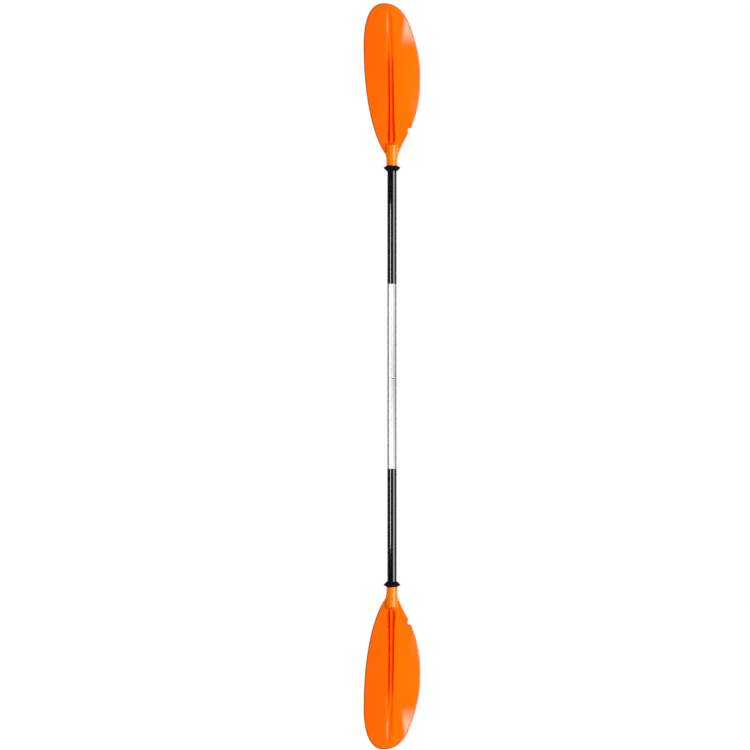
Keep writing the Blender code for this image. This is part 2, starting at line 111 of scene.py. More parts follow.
# sleeve walls: outer radius, inner radius, edge rounding
TUBE_WALL = (TUBE_R, TUBE_R - 0.0011, 0.0004)
WRAP_WALL = (WRAP_R, WRAP_R - 0.0002, 0.00009)
FERRULE_WALL = (FERRULE_R, FERRULE_R - 0.0010, 0.0005)

NECK_MOUTH_Z = node_ends("upper_blade")[0]
NECK_R = 0.0169
SOCKET_R = 0.0143
SOCKET_END_Z = 0.700

# azimuths run from the front (-Y) towards +X
BLADE_BUTTON_Z = 0.5607
BLADE_BUTTON_AZ = math.pi
CENTRE_BUTTON_Z = -0.0046
CENTRE_BUTTON_AZ = math.radians(15)
FEATHER = math.radians(60)
FERRULE_HOLE_R, TUBE_HOLE_R, WRAP_HOLE_R = 0.0041, 0.0042, 0.0045


# ------------------------------------------------------------------ mesh helpers
def shade(mesh, sharp_deg=32):
    mesh.shade_smooth()
    mesh.set_sharp_from_angle(angle=math.radians(sharp_deg))


def new_object(name, verts, faces, sharp_deg=32):
    mesh = bpy.data.meshes.new(name)
    mesh.from_pydata([tuple(map(float, v)) for v in verts], [], [tuple(map(int, f)) for f in faces])
    mesh.validate(clean_customdata=False)
    obj = bpy.data.objects.new(name, mesh)
    bpy.context.scene.collection.objects.link(obj)
    shade(mesh, sharp_deg)
    return obj


def lathe(name, profile, segments=96, closed=True, sharp_deg=32):
    """Turn (radius, z) points about Z. The profile runs down its outer side."""
    angles = np.arange(segments) * 2 * math.pi / segments
    verts, rows = [], []
    for r, z in profile:
        start = len(verts)
        if r < 1e-9:
            rows.append([start] * segments)
            verts.append((0.0, 0.0, z))
        else:
            rows.append(list(range(start, start + segments)))
            verts += [(r * math.cos(a), r * math.sin(a), z) for a in angles]
    pairs = list(zip(rows[:-1], rows[1:]))
    if closed:
        pairs.append((rows[-1], rows[0]))
    faces = []
    for top, low in pairs:
        for i in range(segments):
            j = (i + 1) % segments
            face = list(dict.fromkeys((top[i], low[i], low[j], top[j])))
            if len(face) > 2:
                faces.append(face)
    return new_object(name, verts, faces, sharp_deg)


def mirror_profile(profile, side):
    return list(profile) if side > 0 else [(r, -z) for r, z in reversed(profile)]


def round_corners(points, radius, steps=5, closed=True):
    """Round an (r, z) outline by one radius or one per corner, with a guard point beside each arc."""
    points = [np.array(p, float) for p in points]
    count = len(points)
    radii = np.broadcast_to(radius, count)
    out = []
    for i, corner in enumerate(points):
        if not closed and i in (0, count - 1):
            out.append(tuple(corner))
            continue
        before, after = points[i - 1] - corner, points[(i + 1) % count] - corner
        len_before, len_after = np.linalg.norm(before), np.linalg.norm(after)
        cut = min(radii[i], 0.36 * len_before, 0.36 * len_after)
        if cut < 1e-7:
            out.append(tuple(corner))
            continue
        before, after = before / len_before, after / len_after
        start, end = corner + before * cut, corner + after * cut
        out.append(tuple(corner + before * min(1.3 * cut, 0.47 * len_before)))
        for t in np.linspace(0, 1, steps):
            out.append(tuple((1 - t) ** 2 * start + 2 * t * (1 - t) * corner + t * t * end))
        out.append(tuple(corner + after * min(1.3 * cut, 0.47 * len_after)))
    return out


def radial_matrix(z, azimuth):
    """Local +Z points out along the azimuth, local +Y along the shaft, up."""
    turn = Matrix.Rotation(azimuth, 4, "Z") @ Matrix.Rotation(math.pi / 2, 4, "X")
    return Matrix.Translation((0, 0, z)) @ turn


def drill(obj, z, radius, azimuths=(BLADE_BUTTON_AZ,)):
    """Cut round radial holes through one wall and make the result the object's mesh."""
    inner, outer, sides = 0.006, 0.022, 40
    bars = []
    for i, azimuth in enumerate(azimuths):
        profile = [(0, outer), (radius, outer), (radius, inner), (0, inner)]
        bar = lathe("drill_%d" % i, profile, sides, closed=False)
        # half a step of turn, so that no corner falls on a lengthwise edge of the tube
        half_step = Matrix.Rotation(math.pi / sides, 4, "Z")
        bar.matrix_world = radial_matrix(z, azimuth) @ half_step
        boolean = obj.modifiers.new("hole", "BOOLEAN")
        boolean.operation = "DIFFERENCE"
        boolean.solver = "EXACT"
        boolean.object = bar
        bars.append(bar)
    bpy.context.view_layer.update()
    graph = bpy.context.evaluated_depsgraph_get()
    mesh = bpy.data.meshes.new_from_object(obj.evaluated_get(graph))
    mesh.name = obj.name
    obj.modifiers.clear()
    obj.data = mesh
    shade(mesh)
    for bar in bars:
        bpy.data.objects.remove(bar, do_unlink=True)
    bm = bmesh.new()
    bm.from_mesh(mesh)
    bmesh.ops.remove_doubles(bm, verts=bm.verts, dist=2e-6)
    bmesh.ops.dissolve_degenerate(bm, edges=bm.edges, dist=2e-6)
    bm.to_mesh(mesh)
    bm.free()
    shade(mesh)


def sleeve(name, wall, ends, side):
    """A round tube between two heights, measured towards its own side of mid length."""
    outer, inner, edge = wall
    near, far = ends
    corners = [(outer, far), (outer, near), (inner, near), (inner, far)]
    return lathe(name, round_corners(mirror_profile(corners, side), edge, 4))


# ------------------------------------------------------------------ shader helpers
def fresh_tree(owner):
    owner.use_nodes = True
    owner.node_tree.nodes.clear()
    return owner.node_tree


def add_node(tree, kind, inputs=(), **settings):
    """Add a node. Each input is given a value or the socket that feeds it."""
    node = tree.nodes.new(kind)
    for key, value in settings.items():
        setattr(node, key, value)
    for key, value in dict(inputs).items():
        if isinstance(value, bpy.types.NodeSocket):
            tree.links.new(value, node.inputs[key])
        else:
            node.inputs[key].default_value = value
    return node


def map_range(tree, value, span=(0, 1), to=(0, 1), **settings):
    inputs = {"Value": value, "From Min": span[0], "From Max": span[1],
              "To Min": to[0], "To Max": to[1]}
    return add_node(tree, "ShaderNodeMapRange", inputs, **settings).outputs[0]


class Finish:
    """A Principled material and short methods that add the nodes feeding it."""

    def __init__(self, name):
        self.mat = bpy.data.materials.new(name)
        self.tree = fresh_tree(self.mat)
        out = add_node(self.tree, "ShaderNodeOutputMaterial")
        self.bsdf = add_node(self.tree, "ShaderNodeBsdfPrincipled")
        self.tree.links.new(self.bsdf.outputs[0], out.inputs[0])
        self.coord = add_node(self.tree, "ShaderNodeTexCoord").outputs["Object"]

    def set(self, **values):
        """Feed the Principled inputs and return the finished material."""
        for key, value in values.items():
            socket = self.bsdf.inputs[key.replace("_", " ")]
            if isinstance(value, bpy.types.NodeSocket):
                self.tree.links.new(value, socket)
            else:
                socket.default_value = value
        return self.mat

    def noise(self, scale, detail=4.0, rough=0.5, stretch=None, distortion=0.0):
        vector = self.coord
        if stretch:
            inputs = {"Vector": vector, "Scale": stretch}
            vector = add_node(self.tree, "ShaderNodeMapping", inputs).outputs[0]
        inputs = {"Vector": vector, "Scale": scale, "Detail": detail, "Roughness": rough,
                  "Distortion": distortion}
        return add_node(self.tree, "ShaderNodeTexNoise", inputs).outputs["Fac"]

    def remap(self, value, span, to=(0, 1)):
        return map_range(self.tree, value, span, to)

    def math(self, operation, a, b):
        return add_node(self.tree, "ShaderNodeMath", {0: a, 1: b}, operation=operation).outputs[0]

    def mix(self, fac, low, high):
        low, high = (c if isinstance(c, bpy.types.NodeSocket) else (*c, 1.0) for c in (low, high))
        inputs = {0: fac, 6: low, 7: high}
        return add_node(self.tree, "ShaderNodeMix", inputs, data_type="RGBA").outputs[2]

    def tint(self, base, mask, amount, colour):
        return self.mix(self.math("MULTIPLY", mask, amount), base, colour)

    def bump(self, height, strength, distance, normal=None):
        inputs = {"Strength": strength, "Distance": distance, "Height": height}
        if normal is not None:
            inputs["Normal"] = normal
        return add_node(self.tree, "ShaderNodeBump", inputs).outputs[0]

    def attribute(self, name):
        return add_node(self.tree, "ShaderNodeAttribute", attribute_name=name).outputs["Fac"]


# ------------------------------------------------------------------ materials
def blade_plastic():
    """Gloss-moulded plastic: pigment flow, grain, scuffs, painted shade in the channel and along the
    rim, and painted light on the neck.
    """
    f = Finish("blade_plastic")
    flow = f.noise(scale=3.0, detail=5, rough=0.6, stretch=(3.5, 3.5, 0.9), distortion=0.6)
    cloud = f.noise(scale=22.0, detail=3)
    base = f.mix(f.remap(flow, span=(0.3, 0.7)),
                 low=(0.97, 0.122, 0.0001), high=(1.0, 0.136, 0.0002))
    base = f.mix(f.remap(cloud, span=(0.35, 0.65), to=(0, 0.35)),
                 low=base, high=(0.99, 0.129, 0.0001))
    # painted light: the neck is tinted lighter and yellower, standing in for light falling on it
    neck = f.attribute("neck")
    base = f.tint(base, neck, amount=0.9, colour=(1.0, 0.205, 0.003))
    # painted shade: the channel is tinted darker and redder over its slots and its dark line,
    # standing in for shade in the recesses
    base = f.tint(base, f.attribute("channel_painted_shade"), amount=0.88, colour=(0.80, 0.020, 0.0002))
    # painted shade: the rounded rim is tinted darker, standing in for the edge turning away from the
    # light; its coat is also made rougher below
    rim = f.attribute("rim")
    base = f.tint(base, rim, amount=0.9, colour=(0.42, 0.098, 0.004))
    scuff = f.noise(scale=260.0, detail=6, rough=0.75, stretch=(1.0, 1.0, 0.12))
    matt = f.attribute("matt")
    rim_rough, matt_rough, neck_dulling = 0.15, 0.11, 0.32
    rough = f.remap(scuff, span=(0.45, 0.75), to=(0.035, 0.060))
    rough = f.math("ADD", rough, f.math("MULTIPLY", rim, rim_rough))
    rough = f.math("ADD", rough, f.math("MULTIPLY", matt, matt_rough))
    grain = f.noise(scale=2600.0, detail=2)
    sink = f.noise(scale=9.0, detail=2, rough=0.4)
    normal = f.bump(grain, strength=0.03, distance=0.00002)
    normal = f.bump(sink, strength=0.02, distance=0.0010, normal=normal)
    gloss = f.remap(matt, span=(0.0, 1.0), to=(0.78, 0.03))
    gloss = f.math("SUBTRACT", gloss, f.math("MULTIPLY", neck, neck_dulling))
    return f.set(Base_Color=base, Roughness=0.5, IOR=1.46, Normal=normal, Coat_Roughness=rough,
                 Coat_Normal=normal, Specular_IOR_Level=0.0, Coat_Weight=gloss, Coat_IOR=1.5)


def satin_alloy(name, tone, rough):
    """Clear-anodised drawn tube: fine lines along it, soft cloudiness, a few handling marks."""
    f = Finish(name)
    lines = f.noise(scale=900.0, detail=3, rough=0.6, stretch=(1.0, 1.0, 0.004))
    cloud = f.noise(scale=14.0, detail=3)
    mark = f.noise(scale=420.0, detail=5, rough=0.8, stretch=(1.0, 1.0, 0.5))
    base = f.mix(f.remap(lines, span=(0.3, 0.7)), low=tuple(0.94 * c for c in tone), high=tone)
    base = f.mix(f.remap(cloud, span=(0.4, 0.7), to=(0, 0.25)),
                 low=base, high=tuple(0.9 * c for c in tone))
    roughness = f.math("ADD", f.remap(lines, span=(0.3, 0.7), to=rough),
                       f.remap(mark, span=(0.62, 0.8), to=(0.0, 0.10)))
    return f.set(Base_Color=base, Roughness=roughness, Metallic=1.0,
                 Normal=f.bump(lines, strength=0.06, distance=0.00004))


def shrink_wrap():
    """Thin glossy black film with the tube's lines faintly printed through."""
    f = Finish("shrink_wrap")
    peel = f.noise(scale=240.0, detail=2, rough=0.4)
    lines = f.noise(scale=500.0, detail=2, stretch=(1.0, 1.0, 0.01))
    dust = f.noise(scale=1300.0, detail=3, rough=0.7)
    base = f.mix(f.remap(dust, span=(0.5, 0.75)),
                 low=(0.0016, 0.0016, 0.0018), high=(0.0036, 0.0036, 0.0038))
    rough = f.remap(f.noise(scale=60.0, detail=4, rough=0.6), span=(0.3, 0.7), to=(0.06, 0.10))
    normal = f.bump(peel, strength=0.012, distance=0.0001)
    normal = f.bump(lines, strength=0.01, distance=0.00004, normal=normal)
    return f.set(Base_Color=base, Roughness=rough, IOR=1.5, Normal=normal)


def ring_rubber():
    """Soft black moulded rubber with a light, patchy bloom."""
    f = Finish("ring_rubber")
    grain = f.noise(scale=1800.0, detail=4, rough=0.65)
    bloom = f.noise(scale=90.0, detail=4, rough=0.6)
    base = f.mix(f.remap(bloom, span=(0.45, 0.75)),
                 low=(0.0012, 0.0011, 0.0011), high=(0.0032, 0.0030, 0.0030))
    rough = f.remap(bloom, span=(0.3, 0.7), to=(0.52, 0.68))
    return f.set(Base_Color=base, Roughness=rough, IOR=1.48, Specular_IOR_Level=0.11,
                 Normal=f.bump(grain, strength=0.25, distance=0.00008))


def black_tube():
    """Dark drawn tube with fine lines along it."""
    f = Finish("black_tube")
    lines = f.noise(scale=900.0, detail=3, rough=0.6, stretch=(1.0, 1.0, 0.004))
    base = f.mix(f.remap(lines, span=(0.35, 0.7)),
                 low=(0.010, 0.010, 0.011), high=(0.022, 0.022, 0.024))
    rough = f.remap(lines, span=(0.3, 0.7), to=(0.3, 0.4))
    return f.set(Base_Color=base, Roughness=rough, Metallic=0.35,
                 Normal=f.bump(lines, strength=0.05, distance=0.00004))


def spring_steel():
    """Bright stainless steel with fine polishing scratches."""
    f = Finish("spring_steel")
    scratch = f.noise(scale=1500.0, detail=4, rough=0.7, stretch=(1.0, 0.08, 1.0))
    base = f.mix(f.remap(f.noise(scale=300.0, detail=2), span=(0.4, 0.6)),
                 low=(0.72, 0.71, 0.69), high=(0.82, 0.82, 0.81))
    rough = f.remap(scratch, span=(0.3, 0.7), to=(0.14, 0.28))
    return f.set(Base_Color=base, Roughness=rough, Metallic=1.0,
                 Normal=f.bump(scratch, strength=0.08, distance=0.00003))


def plug_foam():
    """Closed-cell foam with a fine pore structure."""
    f = Finish("plug_foam")
    inputs = {"Vector": f.coord, "Scale": 900.0}
    cells = add_node(f.tree, "ShaderNodeTexVoronoi", inputs).outputs["Distance"]
    base = f.mix(f.remap(cells, span=(0.0, 0.7)),
                 low=(0.07, 0.07, 0.075), high=(0.19, 0.19, 0.20))
    return f.set(Base_Color=base, Roughness=0.93,
                 Normal=f.bump(cells, strength=0.6, distance=0.0004))


MATERIALS = {
    "blade_plastic": blade_plastic(),
    "shaft_alloy": satin_alloy("shaft_alloy", tone=(0.90, 0.905, 0.91), rough=(0.32, 0.40)),
    "ferrule_alloy": satin_alloy("ferrule_alloy", tone=(0.74, 0.75, 0.77), rough=(0.26, 0.36)),
    "shrink_wrap": shrink_wrap(),
    "ring_rubber": ring_rubber(),
    "black_tube": black_tube(),
    "spring_steel": spring_steel(),
    "plug_foam": plug_foam(),
}


def dress(obj, node):
    """Give a visual piece its node's finish and body, and hide the CAD node it stands for."""
    slot = SLOT_OF[node]
    obj.data.materials.clear()
    obj.data.materials.append(MATERIALS[slot])
    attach(obj, BODY_OF[node])
    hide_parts(node)


# ------------------------------------------------------------------ blade
# Outline of the upper blade as cubic Bezier arcs, (x, z) in mm, from the mouth to the tip
LONG_EDGE = [
    ((-16.9, 650.6), (-16.9, 662), (-16.9, 670), (-19.5, 684)),
    ((-19.5, 684), (-66.5, 751), (-87.5, 890), (-87.5, 1015)),
    ((-87.5, 1015), (-87.5, 1021), (-94, 1150), (-27.5, 1150)),
]
SHORT_EDGE = [
    ((16.9, 650.6), (16.9, 660), (16.9, 664), (16.9, 670)),
    ((16.9, 670), (16.9, 694), (46.4, 740.5), (49.5, 749)),
    ((49.5, 749), (49.5, 755), (49.5, 761), (49.5, 766)),
    ((49.5, 766), (52, 768), (58, 764.5), (59.5, 768)),
    ((59.5, 768), (71.3, 800.4), (87.2, 836), (87.2, 918)),
    ((87.2, 918), (87.2, 943), (87.9, 986), (66.3, 1052.5)),
    ((66.3, 1052.5), (50.9, 1100), (32.3, 1150), (-27.5, 1150)),
]
APEX_X = LONG_EDGE[-1][-1][0] / 1000
FACE_START_Z, FACE_LEN = 0.700, 0.450
BLADE_SWEEP = 0.012  # how far the tip leans to the front
MID_T, TIP_T, EDGE_T = 0.0060, 0.0038, 0.0030  # thickness at middle, tip and rim
DOME_START_Z, DOME_END_Z = 0.7105, 0.7195  # where the neck's round front runs out
SPINE_END_Z = 1.090
# Moulded channel: z in m, then half width, half width of the rib and depth in mm
CHANNEL = np.array([
    (0.7165, 8.0, 1.6, 0.0), (0.7200, 10.4, 1.6, 0.5), (0.7250, 12.4, 1.5, 2.8),
    (0.7295, 13.4, 1.4, 4.6), (0.742, 13.8, 1.3, 5.4), (0.760, 12.6, 1.2, 5.3),
    (0.792, 11.2, 0.9, 4.9), (0.853, 10.6, 0.6, 4.2), (0.915, 10.6, 0.4, 3.5),
    (0.977, 10.8, 0.3, 2.8), (1.023, 11.6, 0.2, 2.3), (1.069, 12.4, 0.2, 2.4),
    (1.100, 11.2, 0.2, 2.9), (1.120, 8.6, 0.2, 2.4), (1.128, 5.6, 0.2, 1.3),
    (1.133, 0.5, 0.2, 0.0),
])


def arc_points(arcs, per_arc=140):
    t = np.linspace(0, 1, per_arc)[:, None]
    out = []
    for arc in arcs:
        a, b, c, d = (np.array(p, float) / 1000 for p in arc)
        out.append((1 - t) ** 3 * a + 3 * t * (1 - t) ** 2 * b + 3 * t**2 * (1 - t) * c + t**3 * d)
    return np.vstack(out)


LONG_LINE, SHORT_LINE = arc_points(LONG_EDGE), arc_points(SHORT_EDGE)
OUTLINE = np.vstack([LONG_LINE, SHORT_LINE[::-1]])


def ramp(start, end, value):
    """Smooth step from 0 at start to 1 at end."""
    t = np.clip((value - start) / (end - start), 0.0, 1.0)
    return t * t * (3 - 2 * t)


def soft_max(a, b, blend):
    return 0.5 * (a + b + np.sqrt((a - b) ** 2 + blend * blend))


def middle_x(z):
    """x of the channel and spine line, which drifts towards the long edge."""
    t = np.maximum(z - 0.760, 0)
    return -0.0034 * ramp(0.68, 0.735, z) - 0.005 * t - 0.038 * t * t


def channel(across, z):
    """Depth, share of painted shade, matt share and back bulge of the moulded channel.

    It is two slots with a rib between, opening into one shallow trough near the tip.
    """
    half, rib, depth = (0.001 * np.interp(z, CHANNEL[:, 0], c) for c in CHANNEL.T[1:])
    off = np.abs(across)
    reach = off / np.maximum(half, 1e-5)
    in_slot = np.clip((off - rib) / np.maximum(half - rib, 1e-5), 0, 1)
    twin = np.clip(np.sin(np.pi * in_slot), 0, 1) ** 0.72
    trough = np.cos(np.pi / 2 * np.clip(reach, 0, 1)) ** 2
    opened = ramp(0.955, 1.060, z)
    shape = twin * (1 - opened) + trough * opened
    channel_painted_shade = np.clip(depth / 0.0034, 0, 1) * twin**0.8 * (1 - opened) ** 2 + 0.05 * trough * opened
    # painted shade: one dark line down the +X side of the trough, where its flank faces away from the
    # light
    line = np.exp(-(((across - 0.0070) / 0.0028) ** 2))
    line = line * ramp(0.985, 1.020, z) * (1 - ramp(1.085, 1.125, z))
    channel_painted_shade = np.maximum(channel_painted_shade, line * (0.53 - 0.28 * ramp(1.035, 1.095, z)))
    inside = 1 - ramp(0.80, 1.12, reach)
    matt = inside * (1 - 0.42 * ramp(1.030, 1.075, z)) * ramp(0.716, 0.726, z)
    bulge = 0.65 * depth * trough * ramp(0.930, 1.040, z)
    return depth * shape, channel_painted_shade, matt, bulge


def distance_to_outline(x, z, batch=4000):
    points = np.stack([x.ravel(), z.ravel()], 1)
    start, run = OUTLINE[:-1], np.diff(OUTLINE, axis=0)
    keep = (run**2).sum(1) > 1e-14
    start, run = start[keep], run[keep]
    run_sq = (run**2).sum(1)
    out = np.empty(len(points))
    for i in range(0, len(points), batch):
        offset = points[i:i + batch, None, :] - start[None]
        t = np.clip((offset * run).sum(2) / run_sq, 0, 1)
        out[i:i + batch] = np.sqrt(((offset - t[:, :, None] * run) ** 2).sum(2)).min(1)
    return out.reshape(x.shape)


def hump(off, radius, centre):
    """Height of a round ridge, with steep skirts beyond its radius."""
    skirt = 3 * np.clip(np.abs(off) - radius, 0, None)
    return centre + np.sqrt(np.clip(radius**2 - off**2, 0, None)) - skirt


def blade_surfaces(x, z, inset):
    """Power face y, back y, painted channel shade and matt shares at each (x, z), inset from the
    outline.
    """
    share = np.maximum(z - FACE_START_Z, 0) / FACE_LEN
    across = x - middle_x(z)
    # mid surface: swept and curled towards the tip, with wings that fold to the back
    roof = 0.105 * (np.hypot(across, 0.010) - 0.010) + 0.42 * across * across
    roof = ramp(0.672, 0.760, z) * roof * (1 + 1.25 * np.clip(z - 0.95, -0.2, 0.2))
    curl = np.maximum(z - 1.000, 0)
    mid = -BLADE_SWEEP * share * share - 0.35 * curl * curl + roof
    # half thickness, thinner to the edges and rounded at the rim
    thick = MID_T + (TIP_T - MID_T) * share
    half_t = 0.5 * (thick + (EDGE_T - thick) * np.clip(np.abs(across) / 0.088, 0, 1))
    rim = np.clip(inset / half_t, 0, 1)
    half_t = half_t * np.sqrt(np.clip(1 - (1 - rim) ** 2, 0, None))
    blend = 0.0022 * np.clip(inset / 0.006, 0, 1) * ramp(0.668, 0.690, z)
    # front: the neck's round front runs out at the head of the channel
    t = np.clip((z - DOME_START_Z) / (DOME_END_Z - DOME_START_Z), 0, 1)
    drop = NECK_R * (1 - np.sqrt(np.clip(1 - t * t, 0, None)))
    dome = hump(x, NECK_R, -drop) + mid
    front = np.where(z < DOME_END_Z, soft_max(half_t, dome, blend), half_t)
    depth, channel_painted_shade, matt, bulge = channel(across, z)
    front = front - depth
    # back: the neck tapers away as a spine
    t = np.clip((z - FACE_START_Z) / (SPINE_END_Z - FACE_START_Z), 0, 1)
    radius = NECK_R - 0.010 * t
    stay = (1 - t) ** 1.15
    top = NECK_R * stay + (mid + half_t) * (1 - stay) - 0.0015 * t
    back = soft_max(mid + half_t + bulge, hump(across, radius, top - radius), blend)
    return mid - front, back, channel_painted_shade, matt


def blade_columns(z, n_wing, n_mid):
    """x of each column of one section, dense at the rims and over the channel."""
    left, right = (np.interp(z, np.maximum.accumulate(line[:, 1]), line[:, 0])
                   for line in (LONG_LINE, SHORT_LINE))
    width = right - left
    half = min(0.0185 - 0.0045 * float(ramp(0.78, 0.90, z)), 0.35 * width)
    middle = min(max(float(middle_x(z)), left + 0.4 * width), right - 0.4 * width)

    def wing(room):
        rim = min(0.0022, 0.3 * room)
        n_rim = n_wing // 3
        first = rim * (1 - np.cos(np.linspace(0, math.pi / 2, n_rim)))
        steps = np.linspace(0, 1, n_wing - n_rim + 1)[1:] ** 1.15
        return np.concatenate([first, first[-1] + (room - first[-1]) * steps])

    left_wing = left + wing(middle - half - left)
    right_wing = (right - wing(right - middle - half))[::-1]
    over_channel = middle + half * np.linspace(-1, 1, n_mid)
    return np.concatenate([left_wing, over_channel[1:-1], right_wing])


def blade_stations(fine):
    """Heights of the sections: neck, turn into the face, face, and closing up to the tip."""
    turn_end, tip_start, lip, apex_gap = 0.775, 1.085, 0.0009, 0.00002
    neck = np.arange(NECK_MOUTH_Z + lip, FACE_START_Z, 0.0025 / fine)
    turn = np.arange(FACE_START_Z, turn_end, 0.0012 / fine)
    face = np.arange(turn_end, tip_start, 0.0050 / fine)
    theta = np.linspace(0, math.pi / 2, int(46 * fine))
    tip = tip_start + (TIP_Z - apex_gap - tip_start) * np.sin(theta)
    return np.concatenate([neck, turn, face, tip])


# Lip and socket below the first section: radius, z
MOUTH_RINGS = (
    (NECK_R - 0.00012, NECK_MOUTH_Z + 0.00045),
    (NECK_R - 0.0004, NECK_MOUTH_Z + 0.00012),
    (NECK_R - 0.0009, NECK_MOUTH_Z),
    (SOCKET_R + 0.0006, NECK_MOUTH_Z),
    (SOCKET_R, NECK_MOUTH_Z + 0.0006),
    (SOCKET_R, SOCKET_END_Z - 0.0004),
    (SOCKET_R - 0.0004, SOCKET_END_Z),
)


def around(front, back):
    """Join the values of both faces into closed loops: front across, then back the other way."""
    return np.concatenate([front, back[:, -2:0:-1]], 1)


def build_blade(side, name):
    fine = 1.0
    stations = blade_stations(fine)
    x = np.array([blade_columns(z, int(30 * fine), int(104 * fine)) for z in stations])
    z = np.repeat(stations[:, None], x.shape[1], 1)
    inset = distance_to_outline(x, z)
    ends = [0, -1]
    inset[:, ends] = 0.0
    front, back, channel_painted_shade, matt = blade_surfaces(x, z, inset)
    edge_y = (front + back) / 2
    front[:, ends] = edge_y[:, ends]
    # painted shade along the rounded rim, read by the material for a darker tint and a rougher coat
    rim = np.exp(-((inset / 0.0048) ** 4)) * ramp(0.690, 0.720, z)
    # painted light on the neck, weaker on its +X side, where the lamps already light it
    neck = (1 - ramp(0.700, 0.722, z)) * (1 - ramp(0.0172, 0.0215, np.abs(x)))
    neck *= 1 - 0.9 * ramp(0.0060, 0.0120, x)
    plain = np.zeros_like(x)

    points = np.stack([around(x, x), around(front, back), around(z, z)], 2)
    rows, loop = points.shape[:2]
    points = points.reshape(-1, 3)
    index = np.arange(rows * loop).reshape(rows, loop)
    faces = []

    def bridge(low, high):
        faces.extend(np.stack([low, np.roll(low, -1), np.roll(high, -1), high], 1).tolist())

    for low, high in zip(index[:-1], index[1:]):
        bridge(low, high)
    # apex
    apex, top = len(points), index[-1]
    extra = [(APEX_X, float(edge_y[-1].mean()), TIP_Z)]
    faces += [(top[i], top[(i + 1) % loop], apex) for i in range(loop)]
    # mouth: rounded lip, chamfered bore and its flat end
    outward = points[index[0]][:, :2]
    outward = outward / np.linalg.norm(outward, axis=1)[:, None]
    previous = index[0]
    for radius, height in MOUTH_RINGS:
        ring = np.arange(loop) + len(points) + len(extra)
        extra += [(n[0] * radius, n[1] * radius, height) for n in outward]
        bridge(ring, previous)
        previous = ring
    centre = len(points) + len(extra)
    extra.append((0.0, 0.0, SOCKET_END_Z))
    faces += [(centre, previous[(i + 1) % loop], previous[i]) for i in range(loop)]

    points = np.vstack([points, np.array(extra)])
    points[:, 2] *= side
    if side < 0:
        faces = [f[::-1] for f in faces]
    obj = new_object(name, points, faces, sharp_deg=50)
    # shares from 0 to 1 that the blade's material reads: painted shade in the channel, a duller coat
    # in the channel, painted shade and a rougher coat on the rim, painted light on the neck; the rib
    # and channel are on the front only
    shares = (("channel_painted_shade", channel_painted_shade, plain), ("matt", matt, plain), ("rim", rim, rim),
              ("neck", neck, neck))
    for label, on_front, on_back in shares:
        values = np.zeros(len(points), np.float32)
        values[:rows * loop] = around(on_front, on_back).ravel()
        layer = obj.data.attributes.new(label, "FLOAT", "POINT")
        layer.data.foreach_set("value", values)
    return obj


for side, half in HALVES:
    dress(build_blade(side, half + "_blade_moulding"), half + "_blade")


# ------------------------------------------------------------------ drip rings
def ring_outline():
    near, far = node_ends("upper_drip_ring")
    bore = WRAP_R + 0.0001
    corners = (  # radius, z, rounding
        (0.0208, far - 0.0028, 0.0020),
        (0.0243, far - 0.0042, 0.0008),
        (RING_R, far - 0.0057, 0.0010),
        (RING_R - 0.0008, far - 0.0077, 0.0014),
        (0.0200, far - 0.0130, 0.0030),
        (0.0162, near, 0.0008),
        (bore, near, 0.0003),
        (bore, far, 0.0003),
        (0.0168, far, 0.0006),
    )
    return round_corners([c[:2] for c in corners], [c[2] for c in corners], 7)


for side, half in HALVES:
    profile = mirror_profile(ring_outline(), side)
    dress(lathe(half + "_drip_ring_rubber", profile, 128, sharp_deg=60), half + "_drip_ring")


# ------------------------------------------------------------------ tubes, wraps, ferrules, plugs
def signed_ends(node, side):
    """Ends along one side's direction, for a piece that may cross mid length."""
    lo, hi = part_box(node)
    return (lo[2], hi[2]) if side > 0 else (-hi[2], -lo[2])


def foam_plug(node, side):
    near, far = node_ends(node)
    chamfer, rounding = 0.0015, 0.0006
    corners = [
        (0, far), (PLUG_R - chamfer, far), (PLUG_R, far - chamfer),
        (PLUG_R, near + chamfer), (PLUG_R - chamfer, near), (0, near),
    ]
    profile = round_corners(mirror_profile(corners, side), rounding, 4, closed=False)
    dress(lathe(node + "_foam", profile, 72, closed=False), node)


for side, half in HALVES:
    node = half + "_shaft_tube"
    tube = sleeve(node + "_body", TUBE_WALL, signed_ends(node, side), side)
    if side > 0:  # one hole for each feather angle
        azimuths = [CENTRE_BUTTON_AZ + k * FEATHER for k in (-1, 0, 1)]
        drill(tube, CENTRE_BUTTON_Z, TUBE_HOLE_R, azimuths)
    dress(tube, node)
    # piece, name ending, wall, radius of its button hole
    for piece, ending, wall, hole_r in (
        ("_grip_wrap", "_film", WRAP_WALL, None),
        ("_blade_ferrule", "_sleeve", FERRULE_WALL, FERRULE_HOLE_R),
        ("_blade_tube", "_body", TUBE_WALL, TUBE_HOLE_R),
        ("_blade_tube_wrap", "_film", WRAP_WALL, WRAP_HOLE_R),
    ):
        node = half + piece
        tube = sleeve(node + ending, wall, node_ends(node), side)
        if hole_r:
            drill(tube, side * BLADE_BUTTON_Z, hole_r)
        dress(tube, node)
    foam_plug(half + "_neck_plug", side)
    foam_plug(half + "_shaft_plug", side)

ferrule = sleeve("centre_ferrule_sleeve", FERRULE_WALL, signed_ends("centre_ferrule", -1), -1)
drill(ferrule, CENTRE_BUTTON_Z, FERRULE_HOLE_R, [CENTRE_BUTTON_AZ])
dress(ferrule, "centre_ferrule")


